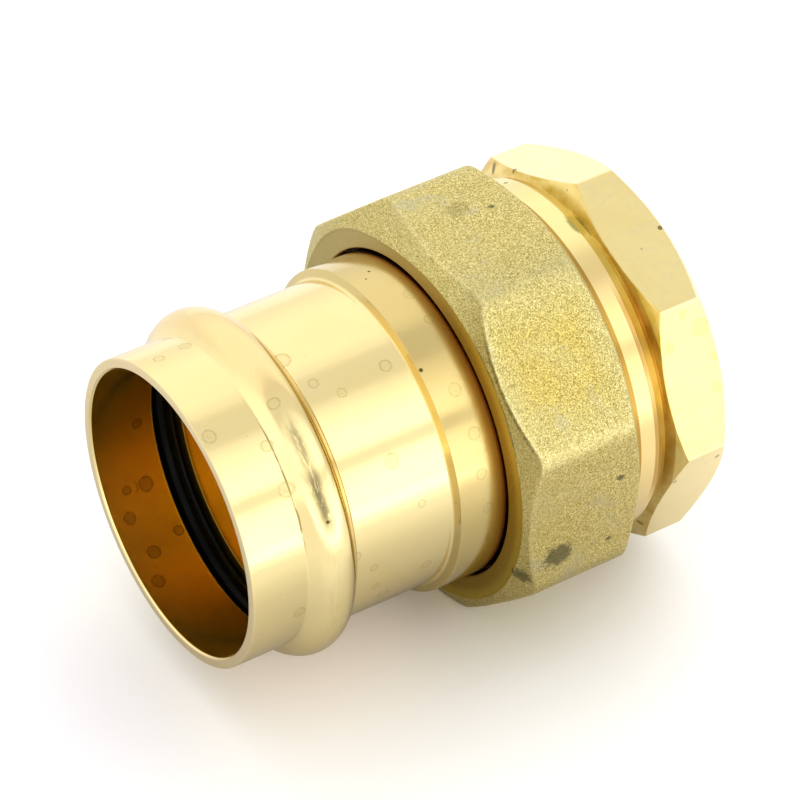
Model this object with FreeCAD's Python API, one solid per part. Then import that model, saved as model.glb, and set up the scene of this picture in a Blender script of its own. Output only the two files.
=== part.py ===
import FreeCAD, Part
import math
import os

# Flat-sealing pipe union, 54 mm press socket to 2 inch female pipe thread.
# Units are millimetres.  Everything is built along +X: the press socket mouth
# is at the low-X end, the female thread is at the high-X end.  The origin is
# on the pipe axis at the middle of the overall length.  +Z is up when the
# union lies on one of the flats of its nut.
#
# Names ending in _X are axial stations measured from the socket mouth, _L are
# lengths and _R radii.  Front is the low-X side of a feature, rear the high-X
# side.  Angles about the axis run from +Z towards -Y.

V = FreeCAD.Vector
CENTRE = V(0, 0, 0)
AXIS = V(1, 0, 0)

TOTAL_L = 97.0           # socket mouth to the end of the female thread
ORIGIN_X = TOTAL_L / 2
TAIL_L = 61.0            # socket mouth to the tailpiece's own seal face
SEAL_X = 63.5            # seal face of the threaded end

# Press tailpiece
TUBE_OD = 54.0           # tube that is pressed in
TUBE_CLEARANCE = 0.25    # a side
SOCKET_R = TUBE_OD / 2 + TUBE_CLEARANCE
SOCKET_L = 40.0          # insertion depth up to the tube stop
THROAT_R = 25.8          # water way behind the tube stop
BODY_R = 29.3            # outside of the socket
SHANK_R = 31.1           # larger shank that the nut turns on
STEP_FRONT_X, STEP_REAR_X = 40.95, 41.65     # slope from socket up to shank
STEP_FOOT_FILLET, STEP_TOP_FILLET = 0.25, 0.2
RIM_CHAMFER = 0.35       # outside of the mouth
MOUTH_LEAD_L, MOUTH_LEAD_R = 0.5, 0.3        # inside of the mouth, along and across
STOP_LEAD_L, STOP_LEAD_R = 0.6, 0.35         # inner edge of the tube stop
TAIL_CHAMFER = 0.5       # both edges of the seal face

# Sealing bead on the socket, with the O-ring groove inside it
BEAD_X = 16.1            # middle of the bead
BEAD_TOP_R = 32.9
BEAD_ARC_R = 5.0         # radius of the crest arc
BEAD_ARC_HALF = 3.08     # half width of the crest arc
BEAD_FRONT_SLOPE, BEAD_REAR_SLOPE = 1.3, 1.5     # radial over axial
BEAD_FRONT_FILLET, BEAD_REAR_FILLET = 0.6, 0.4
GROOVE_FRONT_X, GROOVE_REAR_X = 13.3, 18.3
GROOVE_R = 31.3
GROOVE_FILLET = 1.5      # at the bottom corners
GROOVE_CHAMFER = 0.3     # at the socket bore

# O-ring
ORING_SECTION_R = 2.12
ORING_R = 29.17          # centre line
ORING_X = (GROOVE_FRONT_X + GROOVE_REAR_X) / 2

# Split retaining ring
WIRE_R = 1.2
WIRE_RING_R = 31.4       # centre line
WIRE_X = 57.6
WIRE_GAP_DEG = 8.0
WIRE_GAP_AT_DEG = 150.0  # middle of the gap
WIRE_GROOVE_CLEARANCE = 0.04
WIRE_SHOULDER_CLEARANCE = 0.03

# Union nut
NUT_FLATS = 76.0         # across flats
NUT_CORNER_R = 6.0       # rounding of the eight edges along X
NUT_FIRST_CORNER_DEG = 22.5      # a flat faces straight down
NUT_FRONT_X, NUT_REAR_X = 50.9, 76.1
NUT_CLEAR_R = 44.0       # clear of the nut's corners
NUT_FRONT_R = 37.1       # where the front cone meets the front face
NUT_FRONT_SLOPE = 0.80   # axial over radial
NUT_REAR_R = 36.4        # where the rear cone meets the rear face
NUT_REAR_SLOPE = 0.64    # axial over radial
NUT_FACE_R = 36.05       # turned annulus on the front face
NUT_FACE_DEPTH = 0.12
NUT_LIP_R = 31.5
NUT_LIP_CHAMFER = 0.4
NUT_RELIEF_R = 34.95
NUT_RELIEF_X = 61.2      # rear end of the relief
NUT_ENTRY_CHAMFER = 1.75

# Flat gasket
GASKET_INNER_R, GASKET_OUTER_R = 26.9, 32.5

# Threaded end
END_FLATS = 70.0         # across flats
END_EDGE_R = 0.25        # broken corners of the octagon
END_FIRST_CORNER_DEG = -1.5
END_CLEAR_R = 42.0       # clear of the octagon's corners
FRONT_CONE_X, FRONT_CONE_R = 83.46, 33.9     # foot of the octagon's front cone
FRONT_CONE_SLOPE = 0.64                      # axial over radial
REAR_CONE_X, REAR_CONE_R = 93.83, 37.95      # a point on the rear cone
REAR_CONE_SLOPE = 0.742                      # axial over radial
NECK_FRONT_X, NECK_REAR_X = 76.8, 81.9
NECK_R = 34.55
NECK_CHAMFER = 0.25
NECK_FILLET = 0.25       # rear edge
NECK_FOOT_L = 0.3        # slope from the neck down to the cone foot
NECK_FOOT_FILLET = 0.2
UNDERCUT_R = 32.9
UNDERCUT_L = 2.5         # room for the thread to run out
UNDERCUT_SLOPE_L = 1.0   # slope from the thread down to the undercut
UNDERCUT_FILLET = 0.4
UNION_LEAD_L = 1.6       # lead-in of the union thread
UNION_LEAD_DROP = 0.25   # lead-in starts this far under the thread root
END_BORE_R = 26.6        # water way
END_BORE_CHAMFER = 0.4
END_THREAD_L = 25.5      # length of the female thread
END_THREAD_X = TOTAL_L - END_THREAD_L
RUNOUT_L = 3.6           # groove reaches this far in front of END_THREAD_X
RUNOUT_GAP = 0.2         # and stops this far short of it at full radius
RUNOUT_DEPTH = 0.15      # beyond the thread root
END_ENTRY_CHAMFER = 2.3

# Pipe threads, 55 degree, 11 per inch
PITCH = 25.4 / 11.0
FLANK = math.tan(math.radians(27.5))
ROOT_FLAT = PITCH / 6.0
UNION_MAJOR_R = 69.398 / 2   # G 2 3/8
UNION_MINOR_R = 66.440 / 2
PIPE_MAJOR_R = 59.614 / 2    # Rp 2
PIPE_MINOR_R = 56.656 / 2
THREAD_DEPTH = UNION_MAJOR_R - UNION_MINOR_R     # the same for both threads
THREAD_EASE = 0.05       # radial ease on each side of the union thread
UNION_PHASE_DEG = 27.0   # turn of the nut's thread groove at SEAL_X
PIPE_PHASE_DEG = 60.0    # turn of the female thread's groove at SEAL_X
CUTTER_CLEAR = 0.2       # cutter stands this far out of the material
CUTTER_REAR_OVERRUN = 1.3
CUTTER_TRIES = 12        # starting stations to try
CUTTER_TRY_STEP = 0.15


# ---------------------------------------------------------------- profiles
def profile_point(x, r):
    """Point of a turned profile, station x and radius r."""
    return V(x - ORIGIN_X, 0, r)


def round_corner(before, corner, after, radius):
    """Start, middle and end of the arc that rounds one corner in 2D."""
    back_x, back_y = before[0] - corner[0], before[1] - corner[1]
    on_x, on_y = after[0] - corner[0], after[1] - corner[1]
    back_l, on_l = math.hypot(back_x, back_y), math.hypot(on_x, on_y)
    back_x, back_y, on_x, on_y = back_x / back_l, back_y / back_l, on_x / on_l, on_y / on_l
    half_angle = math.acos(back_x * on_x + back_y * on_y) / 2
    tangent = radius / math.tan(half_angle)
    mid_x, mid_y = back_x + on_x, back_y + on_y
    mid_l = math.hypot(mid_x, mid_y)
    mid_x, mid_y = mid_x / mid_l, mid_y / mid_l
    inset = radius / math.sin(half_angle) - radius
    start = (corner[0] + back_x * tangent, corner[1] + back_y * tangent)
    middle = (corner[0] + mid_x * inset, corner[1] + mid_y * inset)
    end = (corner[0] + on_x * tangent, corner[1] + on_y * tangent)
    return start, middle, end


def outline_face(points, place):
    """Face inside a closed 2D outline; place turns a 2D point into a vector.

    A point is (x, y), (x, y, rounding) or (x, y, 0, through); the last is
    joined to the next point by an arc that passes the 2D point through.
    """
    count = len(points)
    corners = []
    for i, point in enumerate(points):
        if len(point) > 2 and point[2]:
            corners.append(round_corner(points[i - 1], point, points[(i + 1) % count], point[2]))
        else:
            corners.append((point[:2], None, point[:2]))

    def line(start, end):
        return Part.LineSegment(place(*start), place(*end)).toShape()

    def arc(start, middle, end):
        return Part.Arc(place(*start), place(*middle), place(*end)).toShape()

    edges = []
    for i, (start, middle, end) in enumerate(corners):
        if middle:
            edges.append(arc(start, middle, end))
        next_start = corners[(i + 1) % count][0]
        if len(points[i]) > 3:
            edges.append(arc(end, points[i][3], next_start))
        else:
            edges.append(line(end, next_start))
    return Part.Face(Part.Wire(edges))


def turned_outline(points):
    """Solid of revolution from a profile with arcs, see outline_face."""
    return outline_face(points, profile_point).revolve(CENTRE, AXIS, 360)


def turned_polygon(points):
    """Solid of revolution from a straight-sided profile."""
    corners = [profile_point(*point) for point in points]
    wire = Part.makePolygon(corners + [corners[0]])
    return Part.Face(wire).revolve(CENTRE, AXIS, 360)


def octagon_prism(across_flats, front_x, rear_x, first_corner_deg, rounding):
    """Regular octagonal prism along X with rounded corners."""
    corner_r = across_flats / 2.0 / math.cos(math.pi / 8)
    corners = []
    for k in range(8):
        angle = math.radians(first_corner_deg + 45.0 * k)
        corners.append((-corner_r * math.sin(angle), corner_r * math.cos(angle), rounding))
    face = outline_face(corners, lambda y, z: V(front_x - ORIGIN_X, y, z))
    return face.extrude(V(rear_x - front_x, 0, 0))


# ----------------------------------------------------------------- threads
def thread_cutter(front_x, rear_x, open_r, root_r, turn_deg):
    """Right-hand helical groove along X, from open_r (in air) to root_r."""
    helix = Part.makeHelix(PITCH, rear_x - front_x, root_r)
    root_half = ROOT_FLAT / 2
    open_half = root_half + abs(open_r - root_r) * FLANK
    section = [
        V(open_r, 0, -open_half), V(root_r, 0, -root_half),
        V(root_r, 0, root_half), V(open_r, 0, open_half),
    ]
    wire = Part.makePolygon(section + [section[0]])
    cutter = Part.Wire(helix).makePipeShell([wire], True, True)
    cutter.rotate(CENTRE, V(0, 0, 1), turn_deg)
    # the helix axis turns from Z to X
    cutter.rotate(CENTRE, V(0, 1, 0), 90)
    cutter.translate(V(front_x - ORIGIN_X, 0, 0))
    return cutter


def cut_thread(body, front_x, rear_x, open_r, root_r, phase_deg, thread_l, mean_r):
    """Cut one helical groove.

    The boolean can fail at some starting stations, so a few are tried from
    front_x forwards.  The turn follows the station, so each gives the same
    thread; the first cut that removes about the expected volume is kept.
    """
    expected = 0.5 * PITCH * THREAD_DEPTH * 2 * math.pi * mean_r * (thread_l / PITCH)
    # the expected volume takes half the pitch as the mean groove width,
    # doubled for the two radii that make up a diameter difference
    expected *= 2 / 2
    for i in range(CUTTER_TRIES):
        start_x = front_x - CUTTER_TRY_STEP * i
        turn_deg = phase_deg + 360.0 * (start_x - SEAL_X) / PITCH
        cutter = thread_cutter(start_x, rear_x, open_r, root_r, turn_deg)
        threaded = body.cut([cutter], 1e-4)
        removed = body.Volume - threaded.Volume
        clean = threaded.isValid() and len(threaded.Solids) == 1
        if 0.7 * expected < removed < 1.3 * expected and clean:
            return threaded
    raise RuntimeError("thread groove not cut: %.1f of %.1f mm3" % (removed, expected))


# --------------------------------------------------------- press tailpiece
def build_tail():
    arc_end_r = BEAD_TOP_R - BEAD_ARC_R + math.sqrt(BEAD_ARC_R ** 2 - BEAD_ARC_HALF ** 2)
    front_foot = BEAD_ARC_HALF + (arc_end_r - BODY_R) / BEAD_FRONT_SLOPE
    rear_foot = BEAD_ARC_HALF + (arc_end_r - BODY_R) / BEAD_REAR_SLOPE
    outside = [
        (0.0, BODY_R - RIM_CHAMFER),
        (RIM_CHAMFER, BODY_R),
        (BEAD_X - front_foot, BODY_R, BEAD_FRONT_FILLET),
        (BEAD_X - BEAD_ARC_HALF, arc_end_r, 0, (BEAD_X, BEAD_TOP_R)),
        (BEAD_X + BEAD_ARC_HALF, arc_end_r),
        (BEAD_X + rear_foot, BODY_R, BEAD_REAR_FILLET),
        (STEP_FRONT_X, BODY_R, STEP_FOOT_FILLET),
        (STEP_REAR_X, SHANK_R, STEP_TOP_FILLET),
        (TAIL_L - TAIL_CHAMFER, SHANK_R),
        (TAIL_L, SHANK_R - TAIL_CHAMFER),
    ]
    # from the seal face back to the mouth
    inside = [
        (TAIL_L, THROAT_R + TAIL_CHAMFER),
        (TAIL_L - TAIL_CHAMFER, THROAT_R),
        (SOCKET_L + STOP_LEAD_L, THROAT_R),
        (SOCKET_L, THROAT_R + STOP_LEAD_R),
        (SOCKET_L, SOCKET_R),
        (GROOVE_REAR_X + GROOVE_CHAMFER, SOCKET_R),
        (GROOVE_REAR_X, SOCKET_R + GROOVE_CHAMFER),
        (GROOVE_REAR_X, GROOVE_R, GROOVE_FILLET),
        (GROOVE_FRONT_X, GROOVE_R, GROOVE_FILLET),
        (GROOVE_FRONT_X, SOCKET_R + GROOVE_CHAMFER),
        (GROOVE_FRONT_X - GROOVE_CHAMFER, SOCKET_R),
        (MOUTH_LEAD_L, SOCKET_R),
        (0.0, SOCKET_R + MOUTH_LEAD_R),
    ]
    # groove for the split retaining ring
    groove = Part.makeTorus(WIRE_RING_R, WIRE_R + WIRE_GROOVE_CLEARANCE,
                            profile_point(WIRE_X, 0), AXIS)
    return turned_outline(outside + inside).cut(groove)


# ------------------------------------------------------------------- rings
def build_o_ring():
    return Part.makeTorus(ORING_R, ORING_SECTION_R, profile_point(ORING_X, 0), AXIS)


def build_retaining_ring():
    section = Part.makeCircle(WIRE_R, profile_point(WIRE_X, WIRE_RING_R), V(0, 1, 0))
    face = Part.Face(Part.Wire([section]))
    ring = face.revolve(CENTRE, AXIS, 360.0 - WIRE_GAP_DEG)
    ring.rotate(CENTRE, AXIS, WIRE_GAP_DEG / 2 + WIRE_GAP_AT_DEG)
    return ring


def build_gasket():
    return turned_polygon([
        (TAIL_L, GASKET_INNER_R), (TAIL_L, GASKET_OUTER_R),
        (SEAL_X, GASKET_OUTER_R), (SEAL_X, GASKET_INNER_R),
    ])


# --------------------------------------------------------------- union nut
def nut_blank():
    """Octagon with both ends coned and a turned annulus on the front face."""
    octagon = octagon_prism(NUT_FLATS, NUT_FRONT_X, NUT_REAR_X,
                            NUT_FIRST_CORNER_DEG, NUT_CORNER_R)
    envelope = turned_polygon([
        (NUT_FRONT_X, 0.0),
        (NUT_FRONT_X, NUT_FRONT_R),
        (NUT_FRONT_X + (NUT_CLEAR_R - NUT_FRONT_R) * NUT_FRONT_SLOPE, NUT_CLEAR_R),
        (NUT_REAR_X - (NUT_CLEAR_R - NUT_REAR_R) * NUT_REAR_SLOPE, NUT_CLEAR_R),
        (NUT_REAR_X, NUT_REAR_R),
        (NUT_REAR_X, 0.0),
    ])
    face_x = NUT_FRONT_X + NUT_FACE_DEPTH
    inner_r = NUT_LIP_R - 2      # inside the bore that is cut later
    annulus = turned_polygon([
        (NUT_FRONT_X - 1, inner_r), (NUT_FRONT_X - 1, NUT_FACE_R + 0.1),
        (face_x, NUT_FACE_R), (face_x, inner_r),
    ])
    return octagon.common(envelope).cut(annulus)


def build_nut():
    core_r = UNION_MINOR_R + THREAD_EASE
    # 45 degree shoulder that bears on the retaining ring: station less radius
    shoulder = WIRE_X - WIRE_RING_R - (WIRE_R + WIRE_SHOULDER_CLEARANCE) * math.sqrt(2.0)
    front_overrun, rear_overrun = 2.0, 1.25
    bore = turned_polygon([
        (NUT_FRONT_X - front_overrun, 0.0),
        (NUT_FRONT_X - front_overrun,
         NUT_LIP_R + NUT_LIP_CHAMFER + front_overrun + NUT_FACE_DEPTH),
        (NUT_FRONT_X + NUT_FACE_DEPTH + NUT_LIP_CHAMFER, NUT_LIP_R),
        (shoulder + NUT_LIP_R, NUT_LIP_R),
        (shoulder + NUT_RELIEF_R, NUT_RELIEF_R),
        (NUT_RELIEF_X, NUT_RELIEF_R),
        (NUT_RELIEF_X + (NUT_RELIEF_R - core_r), core_r),
        (NUT_REAR_X - NUT_ENTRY_CHAMFER, core_r),
        (NUT_REAR_X + rear_overrun, core_r + NUT_ENTRY_CHAMFER + rear_overrun),
        (NUT_REAR_X + rear_overrun, 0.0),
    ])
    return cut_thread(
        nut_blank().cut(bore),
        front_x=NUT_RELIEF_X - 0.2, rear_x=NUT_REAR_X + CUTTER_REAR_OVERRUN,
        open_r=core_r - CUTTER_CLEAR, root_r=UNION_MAJOR_R + THREAD_EASE,
        phase_deg=UNION_PHASE_DEG,
        thread_l=NUT_REAR_X - NUT_RELIEF_X - 2.0, mean_r=34.0)


# ------------------------------------------------------------ threaded end
def end_head():
    """Octagon, coned at both ends."""
    octagon = octagon_prism(END_FLATS, FRONT_CONE_X - 0.5, TOTAL_L,
                            END_FIRST_CORNER_DEG, END_EDGE_R)
    start_x = FRONT_CONE_X - 0.4
    envelope = turned_polygon([
        (start_x, 0.0),
        (start_x, FRONT_CONE_R - 0.2),
        (FRONT_CONE_X, FRONT_CONE_R),
        (FRONT_CONE_X + (END_CLEAR_R - FRONT_CONE_R) * FRONT_CONE_SLOPE, END_CLEAR_R),
        (REAR_CONE_X - (END_CLEAR_R - REAR_CONE_R) * REAR_CONE_SLOPE, END_CLEAR_R),
        (TOTAL_L, REAR_CONE_R - (TOTAL_L - REAR_CONE_X) / REAR_CONE_SLOPE),
        (TOTAL_L, 0.0),
    ])
    return octagon.common(envelope)


def end_shank():
    """Union thread, undercut and neck, solid to the axis."""
    major_r = UNION_MAJOR_R - THREAD_EASE
    undercut_x = NECK_FRONT_X - UNDERCUT_L
    rear_x = FRONT_CONE_X + 0.1      # overlaps the head
    shank = turned_outline([
        (SEAL_X, 0.0),
        (SEAL_X, UNION_MINOR_R - UNION_LEAD_DROP),
        (SEAL_X + UNION_LEAD_L, major_r),
        (undercut_x - UNDERCUT_SLOPE_L, major_r),
        (undercut_x, UNDERCUT_R),
        (NECK_FRONT_X - NECK_CHAMFER, UNDERCUT_R, UNDERCUT_FILLET),
        (NECK_FRONT_X, NECK_R - NECK_CHAMFER),
        (NECK_FRONT_X + NECK_CHAMFER, NECK_R),
        (NECK_REAR_X, NECK_R, NECK_FILLET),
        (NECK_REAR_X + NECK_FOOT_L, FRONT_CONE_R, NECK_FOOT_FILLET),
        (rear_x, FRONT_CONE_R),
        (rear_x, 0.0),
    ])
    # half a turn from the groove of the nut, so that the ridge runs in it;
    # the cutter ends inside the undercut
    return cut_thread(
        shank,
        front_x=SEAL_X - 1.2, rear_x=NECK_FRONT_X - 1.3,
        open_r=major_r + CUTTER_CLEAR, root_r=UNION_MINOR_R - THREAD_EASE,
        phase_deg=UNION_PHASE_DEG + 180.0,
        thread_l=undercut_x - 0.8 - SEAL_X, mean_r=34.0)


def build_end():
    runout_r = PIPE_MAJOR_R + RUNOUT_DEPTH
    overrun = 1.0
    # water way, runout groove, thread core and entry chamfer
    bore = turned_polygon([
        (SEAL_X - overrun, 0.0),
        (SEAL_X - overrun, END_BORE_R + END_BORE_CHAMFER + overrun),
        (SEAL_X + END_BORE_CHAMFER, END_BORE_R),
        (END_THREAD_X - RUNOUT_L, END_BORE_R),
        (END_THREAD_X - RUNOUT_L, runout_r),
        (END_THREAD_X - RUNOUT_GAP, runout_r),
        (END_THREAD_X - RUNOUT_GAP + (runout_r - PIPE_MINOR_R), PIPE_MINOR_R),
        (TOTAL_L - END_ENTRY_CHAMFER, PIPE_MINOR_R),
        (TOTAL_L + overrun, PIPE_MINOR_R + END_ENTRY_CHAMFER + overrun),
        (TOTAL_L + overrun, 0.0),
    ])
    return cut_thread(
        end_head().fuse(end_shank()).cut(bore),
        front_x=END_THREAD_X - 1.2, rear_x=TOTAL_L + CUTTER_REAR_OVERRUN,
        open_r=PIPE_MINOR_R - CUTTER_CLEAR, root_r=PIPE_MAJOR_R,
        phase_deg=PIPE_PHASE_DEG,
        thread_l=END_THREAD_L - 2.0, mean_r=29.1)


BUILDERS = {
    "press_tail": build_tail,
    "socket_o_ring": build_o_ring,
    "retaining_ring": build_retaining_ring,
    "union_nut": build_nut,
    "flat_gasket": build_gasket,
    "threaded_end": build_end,
}

os.makedirs("parts", exist_ok=True)
for name, build in BUILDERS.items():
    build().Solids[0].exportStep("parts/%s.step" % name)
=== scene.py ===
# A metal pipe union lying along X: a press tail with a rolled bead, an octagonal union nut and
# a threaded end, in line towards +X, on a white floor in a soft light tent.
# Stations are mm along +X from the mouth of the tail, radii are mm from the pipe axis, and
# angles run round the axis from straight up (+Z) towards -Y. Front means the -X side.
import math
from functools import reduce
from itertools import product

import bpy
import numpy as np
from mathutils import Matrix, Vector


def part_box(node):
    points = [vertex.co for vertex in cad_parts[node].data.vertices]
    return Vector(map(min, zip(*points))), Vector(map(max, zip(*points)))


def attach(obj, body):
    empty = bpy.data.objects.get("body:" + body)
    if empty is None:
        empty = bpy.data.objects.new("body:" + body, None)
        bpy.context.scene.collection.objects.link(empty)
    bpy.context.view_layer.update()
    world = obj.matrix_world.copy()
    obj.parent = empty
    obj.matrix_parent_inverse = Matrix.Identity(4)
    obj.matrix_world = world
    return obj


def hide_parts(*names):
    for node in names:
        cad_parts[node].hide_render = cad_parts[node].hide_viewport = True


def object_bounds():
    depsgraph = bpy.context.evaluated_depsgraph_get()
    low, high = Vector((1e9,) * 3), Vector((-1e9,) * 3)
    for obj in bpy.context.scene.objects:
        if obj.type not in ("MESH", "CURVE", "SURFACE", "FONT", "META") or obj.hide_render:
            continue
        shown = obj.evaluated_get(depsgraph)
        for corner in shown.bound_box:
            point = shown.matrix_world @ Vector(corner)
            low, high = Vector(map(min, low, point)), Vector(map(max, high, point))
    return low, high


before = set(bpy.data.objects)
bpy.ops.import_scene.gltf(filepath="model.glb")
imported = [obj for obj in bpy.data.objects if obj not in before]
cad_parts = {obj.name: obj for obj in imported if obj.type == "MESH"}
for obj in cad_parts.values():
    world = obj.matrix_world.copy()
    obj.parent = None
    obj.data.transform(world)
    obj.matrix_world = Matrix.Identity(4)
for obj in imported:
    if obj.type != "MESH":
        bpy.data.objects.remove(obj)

cad_lo, cad_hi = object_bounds()
MM = 0.001
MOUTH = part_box("press_tail")[0].x * 1000.0    # X of station 0, in mm
scene = bpy.context.scene

# radii shared by the shapes, their marks and their stains
BODY, SHANK, BORE = 29.3, 31.1, 27.25         # tail: thin part, thick rear part, inside
NECK = 34.55                                  # round neck of the threaded end
GROOVE_R = 33.9                               # groove between the neck and the flats
CONE_X, CONE_SLOPE = 83.46, 0.64              # foot of the turned cone, its mm of X per mm of radius

SIDE = 45.0                                   # degrees taken by one side of an octagon
HALF_SIDE = SIDE / 2
NUT_CORNER, END_CORNER = 22.5, -1.5           # degrees, one corner of each octagon

PITCH = 25.4 / 11.0                           # both threads, 11 to the inch
THREAD_X = 63.5                               # station the threads are counted from
UNION_PHASE, PIPE_PHASE = 27.0, 60.0          # degrees


# ---------------------------------------------------------------------------
# smooth noise for the surfaces, the same every run
# ---------------------------------------------------------------------------
def hash01(ix, iy, iz, seed):
    h = (ix * 374761393 + iy * 668265263 + iz * 2147483647 + seed * 1274126177) & 0xFFFFFFFF
    h = ((h ^ (h >> 13)) * 1274126177) & 0xFFFFFFFF
    h = (h ^ (h >> 16)) & 0xFFFFFFFF
    return h.astype(np.float64) / 4294967295.0


def smooth_noise(points, scale, seed, octaves=1, gain=0.5):
    """Value noise in -1..1 at points in mm; scale is the size of its features in mm."""
    total = np.zeros(len(points))
    amplitude, norm = 1.0, 0.0
    for octave in range(octaves):
        place = points / scale + 17.3 * (octave + 1)
        cell = np.floor(place).astype(np.int64)
        fade = place - cell
        fade = fade * fade * (3 - 2 * fade)
        value = np.zeros(len(points))
        for corner in product((0, 1), repeat=3):
            weight = np.where(corner, fade, 1 - fade)
            weight = weight[:, 0] * weight[:, 1] * weight[:, 2]
            value += weight * hash01(*(cell + corner).T, seed + octave)
        total += amplitude * (2 * value - 1)
        norm += amplitude
        amplitude *= gain
        scale *= 0.5
    return total / norm


# ---------------------------------------------------------------------------
# profiles and ring meshes
# ---------------------------------------------------------------------------
def rounded(points):
    """Open path of (x, r[, rounding[, spacing after the point]]) to a dense polyline."""
    defaults = (0.0, 0.35)
    points = [(*point, *defaults[len(point) - 2:]) for point in points]
    last = len(points) - 1
    corners = []
    for i, (x, r, rounding, _) in enumerate(points):
        corner = np.array((x, r), float)
        if not rounding or i in (0, last):
            corners.append([corner])
            continue
        before = np.array(points[i - 1][:2], float) - corner
        after = np.array(points[i + 1][:2], float) - corner
        len_before, len_after = np.linalg.norm(before), np.linalg.norm(after)
        before, after = before / len_before, after / len_after
        half = math.acos(max(-1.0, min(1.0, float(before @ after)))) / 2
        trim = min(rounding / math.tan(half), 0.48 * len_before, 0.48 * len_after)
        radius = trim * math.tan(half)
        middle = (before + after) / np.linalg.norm(before + after)
        centre = corner + middle * radius / math.sin(half)
        arm0, arm1 = corner + before * trim - centre, corner + after * trim - centre
        start, end = math.atan2(arm0[1], arm0[0]), math.atan2(arm1[1], arm1[0])
        sweep = (end - start + math.pi) % (2 * math.pi) - math.pi
        steps = max(4, int(abs(sweep) * radius / 0.12))
        turns = [start + sweep * j / steps for j in range(steps + 1)]
        corners.append([centre + radius * np.array([math.cos(t), math.sin(t)]) for t in turns])
    path = []
    for i, arc in enumerate(corners):
        path.extend(arc)
        if i < last:
            start, end = arc[-1], corners[i + 1][0]
            steps = max(1, int(math.ceil(np.linalg.norm(end - start) / points[i][3])))
            path.extend(start + (end - start) * j / steps for j in range(1, steps))
    return np.array(path)


def swept(points, count):
    """Closed profiles at count angles, as a (count, K, 2) grid of station and radius.

    Points are (x, r, rounding, steps to the next point[, steps in the rounding]); x and r may
    be arrays over the angles.
    """
    points = [(*point, 5)[:5] for point in points]
    places = [np.stack([np.broadcast_to(np.asarray(value, float), count) for value in point[:2]], -1)
              for point in points]
    arcs = []
    for i, corner in enumerate(places):
        rounding, steps = points[i][2], points[i][4]
        if not rounding:
            arcs.append([corner])
            continue
        before, after = places[i - 1] - corner, places[(i + 1) % len(places)] - corner
        len_before = np.linalg.norm(before, axis=1, keepdims=True)
        len_after = np.linalg.norm(after, axis=1, keepdims=True)
        before, after = before / len_before, after / len_after
        half = np.arccos(np.clip((before * after).sum(1, keepdims=True), -1, 1)) / 2
        trim = np.minimum(np.minimum(rounding / np.tan(half), 0.45 * len_before), 0.45 * len_after)
        radius = trim * np.tan(half)
        middle = before + after
        middle = middle / np.linalg.norm(middle, axis=1, keepdims=True)
        centre = corner + middle * radius / np.sin(half)
        arm0, arm1 = corner + before * trim - centre, corner + after * trim - centre
        sweep = math.pi - 2 * half
        arc = []
        for j in range(steps + 1):
            part = j / steps
            blend = np.sin((1 - part) * sweep) * arm0 + np.sin(part * sweep) * arm1
            arc.append(centre + blend / np.sin(sweep))
        arcs.append(arc)
    rings = []
    for i, arc in enumerate(arcs):
        rings.extend(arc)
        start, end, steps = arc[-1], arcs[(i + 1) % len(arcs)][0], points[i][3]
        rings.extend(start + (end - start) * j / steps for j in range(1, steps))
    return np.stack(rings, 1)


def to_xyz(x, r, angles):
    """Points in mm with x as given, from radii on a grid whose rows are the angles."""
    return np.stack([x, -r * np.sin(angles)[:, None], r * np.cos(angles)[:, None]], -1)


def ring_mesh(name, grid, angles, sharp_deg):
    """A ring of quads from a (angles, K, 2) grid of closed profiles."""
    count, size, _ = grid.shape
    cos, sin = np.cos(angles)[:, None], np.sin(angles)[:, None]
    co = np.empty((count, size, 3))
    co[:, :, 0] = (grid[:, :, 0] + MOUTH) * MM
    co[:, :, 1] = -grid[:, :, 1] * sin * MM
    co[:, :, 2] = grid[:, :, 1] * cos * MM
    co = co.reshape(-1, 3)
    i, j = np.arange(count)[:, None], np.arange(size)[None, :]
    i_next, j_next = (i + 1) % count, (j + 1) % size
    quads = [i * size + j, i * size + j_next, i_next * size + j_next, i_next * size + j]
    quads = np.stack(quads, axis=-1).reshape(-1, 4)
    corner = co[quads]
    volume = sum(np.einsum("ij,ij->i", corner[:, 0], np.cross(corner[:, k], corner[:, k + 1])).sum()
                 for k in (1, 2))
    if volume < 0:
        quads = quads[:, ::-1]
    mesh = bpy.data.meshes.new(name)
    mesh.vertices.add(len(co))
    mesh.vertices.foreach_set("co", co.astype(np.float32).ravel())
    mesh.loops.add(quads.size)
    mesh.loops.foreach_set("vertex_index", quads.astype(np.int32).ravel())
    mesh.polygons.add(len(quads))
    mesh.polygons.foreach_set("loop_start", np.arange(0, quads.size, 4, dtype=np.int32))
    mesh.update(calc_edges=True)
    mesh.polygons.foreach_set("use_smooth", np.ones(len(quads), bool))
    mesh.set_sharp_from_angle(angle=math.radians(sharp_deg))
    mesh.update()
    obj = bpy.data.objects.new(name, mesh)
    scene.collection.objects.link(obj)
    return obj


def store_vectors(obj, name, values):
    attribute = obj.data.attributes.new(name, "FLOAT_VECTOR", "POINT")
    attribute.data.foreach_set("vector", values.astype(np.float32).ravel())


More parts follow.
